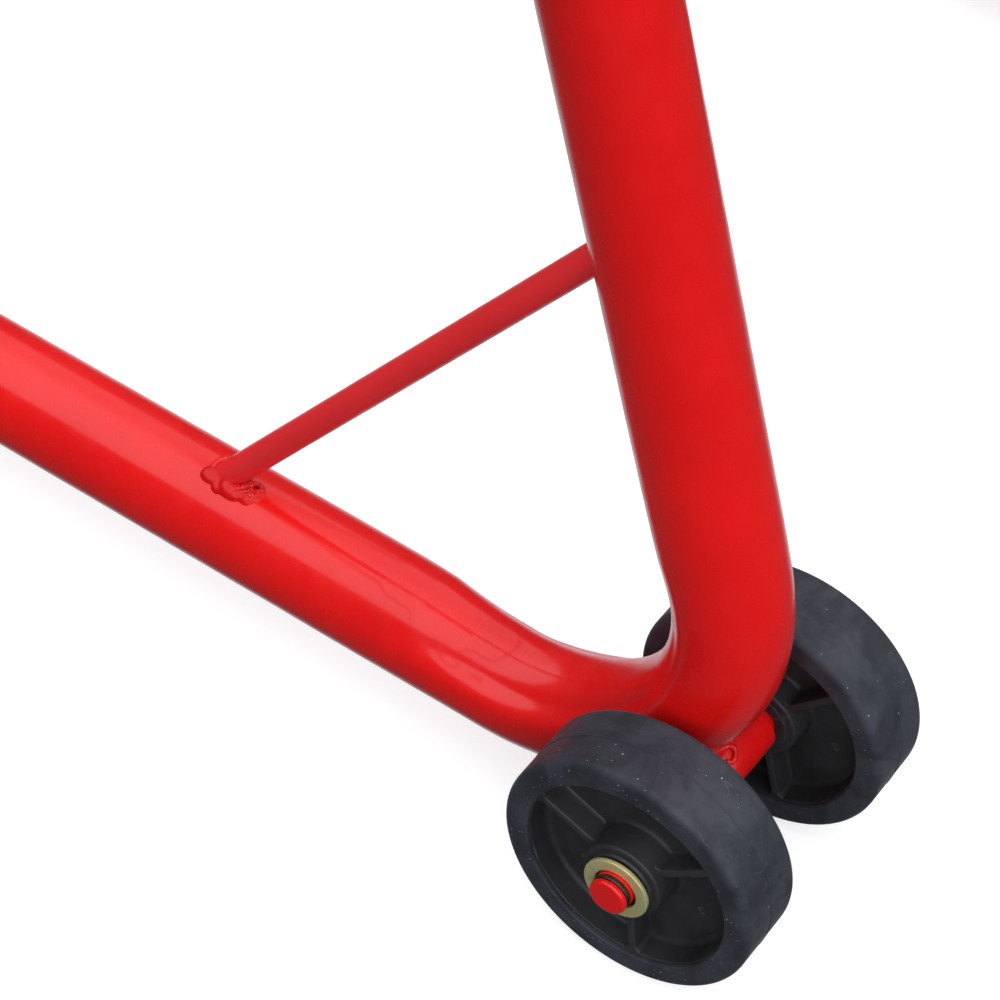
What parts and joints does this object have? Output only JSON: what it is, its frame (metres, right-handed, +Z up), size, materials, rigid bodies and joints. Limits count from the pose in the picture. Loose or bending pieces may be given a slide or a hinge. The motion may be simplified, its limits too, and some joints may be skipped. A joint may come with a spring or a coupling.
{
  "type": "motorcycle paddock stand",
  "caption": "Rear paddock stand: bent red side tubes on double wheels, brace rods, crossbar on rubber feet, handle hoop and sliding swingarm cradles.",
  "frame": {"origin": "on the floor, under the middle of the stand's box", "axes": "+Z up, +Y to the handle at the rear, X across the stand with -X on the right side as seen from the handle looking forward"},
  "size_m": [0.5122, 0.64, 0.3802],
  "materials": {
    "red_paint": "glossy bright red powder coat over steel",
    "tyre_rubber": "matte blue-black solid rubber",
    "rim_plastic": "moulded black plastic, satin",
    "yellow_zinc": "yellow-passivated zinc plate",
    "bright_zinc": "bright zinc plate",
    "dark_steel": "dark phosphated spring steel",
    "brass": "turned brass",
    "black_plastic": "moulded black plastic",
    "foot_rubber": "moulded black rubber",
    "pad_rubber": "ribbed black rubber",
    "grip_rubber": "ringed black rubber grip"
  },
  "bodies": {
    "frame": {"rear_crossbar": "red_paint", "foot_screws": "bright_zinc", "foot_rivet_nuts": "bright_zinc", "handle_hoop": "red_paint", "handle_grip": "grip_rubber", "handle_bolts": "bright_zinc", "handle_nuts": "bright_zinc", "handle_washers": "bright_zinc", "right_side_tube": "red_paint", "right_brace_rod": "red_paint", "right_axle_tube": "red_paint", "right_axle": "red_paint", "right_axle_washers": "yellow_zinc", "right_axle_rings": "dark_steel", "right_foot_pad": "foot_rubber", "right_clamp_sleeve": "red_paint", "right_clamp_nut": "red_paint", "left_side_tube": "red_paint", "left_brace_rod": "red_paint", "left_axle_tube": "red_paint", "left_axle": "red_paint", "left_axle_washers": "yellow_zinc", "left_axle_rings": "dark_steel", "left_foot_pad": "foot_rubber", "left_clamp_sleeve": "red_paint", "left_clamp_nut": "red_paint"},
    "right_outer_wheel": {"right_outer_rim": "rim_plastic", "right_outer_tyre": "tyre_rubber"},
    "right_inner_wheel": {"right_inner_rim": "rim_plastic", "right_inner_tyre": "tyre_rubber"},
    "right_adapter": {"right_adapter_bar": "bright_zinc", "right_end_washer": "bright_zinc", "right_end_screw": "bright_zinc"},
    "right_cradle": {"right_cradle_hub": "red_paint", "right_cradle_plate": "red_paint", "right_cradle_pad": "pad_rubber", "right_cradle_screws": "bright_zinc", "right_cradle_nuts": "bright_zinc"},
    "right_clamp_tip": {"right_clamp_shoe": "brass"},
    "right_clamp_handle": {"right_clamp_screw": "bright_zinc", "right_clamp_knob": "black_plastic"},
    "left_outer_wheel": {"left_outer_rim": "rim_plastic", "left_outer_tyre": "tyre_rubber"},
    "left_inner_wheel": {"left_inner_rim": "rim_plastic", "left_inner_tyre": "tyre_rubber"},
    "left_adapter": {"left_adapter_bar": "bright_zinc", "left_end_washer": "bright_zinc", "left_end_screw": "bright_zinc"},
    "left_cradle": {"left_cradle_hub": "red_paint", "left_cradle_plate": "red_paint", "left_cradle_pad": "pad_rubber", "left_cradle_screws": "bright_zinc", "left_cradle_nuts": "bright_zinc"},
    "left_clamp_tip": {"left_clamp_shoe": "brass"},
    "left_clamp_handle": {"left_clamp_screw": "bright_zinc", "left_clamp_knob": "black_plastic"}
  },
  "joints": [
    {"name": "right_outer_wheel_spin", "type": "hinge", "parent": "frame", "child": "right_outer_wheel", "pos_m": [-0.235, -0.28, 0.04], "axis": [1, 0, 0], "continuous": true},
    {"name": "right_inner_wheel_spin", "type": "hinge", "parent": "frame", "child": "right_inner_wheel", "pos_m": [-0.165, -0.28, 0.04], "axis": [1, 0, 0], "continuous": true},
    {"name": "right_adapter_slide", "type": "slide", "parent": "frame", "child": "right_adapter", "axis": [1, 0, 0], "range_m": [-0.01, 0.03]},
    {"name": "right_cradle_tilt", "type": "hinge", "parent": "right_adapter", "child": "right_cradle", "pos_m": [-0.1325, -0.20174, 0.32518], "axis": [1, 0, 0], "range_deg": [-25, 25]},
    {"name": "right_clamp_travel", "type": "slide", "parent": "frame", "child": "right_clamp_tip", "axis": [0, 1, 0], "range_m": [0, 0.003]},
    {"name": "right_clamp_turn", "type": "hinge", "parent": "right_clamp_tip", "child": "right_clamp_handle", "pos_m": [-0.2, -0.20174, 0.32518], "axis": [0, 1, 0], "range_deg": [0, 720]},
    {"name": "left_outer_wheel_spin", "type": "hinge", "parent": "frame", "child": "left_outer_wheel", "pos_m": [0.235, -0.28, 0.04], "axis": [1, 0, 0], "continuous": true},
    {"name": "left_inner_wheel_spin", "type": "hinge", "parent": "frame", "child": "left_inner_wheel", "pos_m": [0.165, -0.28, 0.04], "axis": [1, 0, 0], "continuous": true},
    {"name": "left_adapter_slide", "type": "slide", "parent": "frame", "child": "left_adapter", "axis": [-1, 0, 0], "range_m": [-0.01, 0.03]},
    {"name": "left_cradle_tilt", "type": "hinge", "parent": "left_adapter", "child": "left_cradle", "pos_m": [0.1325, -0.20174, 0.32518], "axis": [1, 0, 0], "range_deg": [-25, 25]},
    {"name": "left_clamp_travel", "type": "slide", "parent": "frame", "child": "left_clamp_tip", "axis": [0, 1, 0], "range_m": [0, 0.003]},
    {"name": "left_clamp_turn", "type": "hinge", "parent": "left_clamp_tip", "child": "left_clamp_handle", "pos_m": [0.2, -0.20174, 0.32518], "axis": [0, 1, 0], "range_deg": [0, 720]}
  ],
  "couplings": [
    {"joint": "right_clamp_travel", "follows": "right_clamp_turn", "m_per_rad": 0.00023873},
    {"joint": "left_clamp_travel", "follows": "left_clamp_turn", "m_per_rad": 0.00023873}
  ]
}
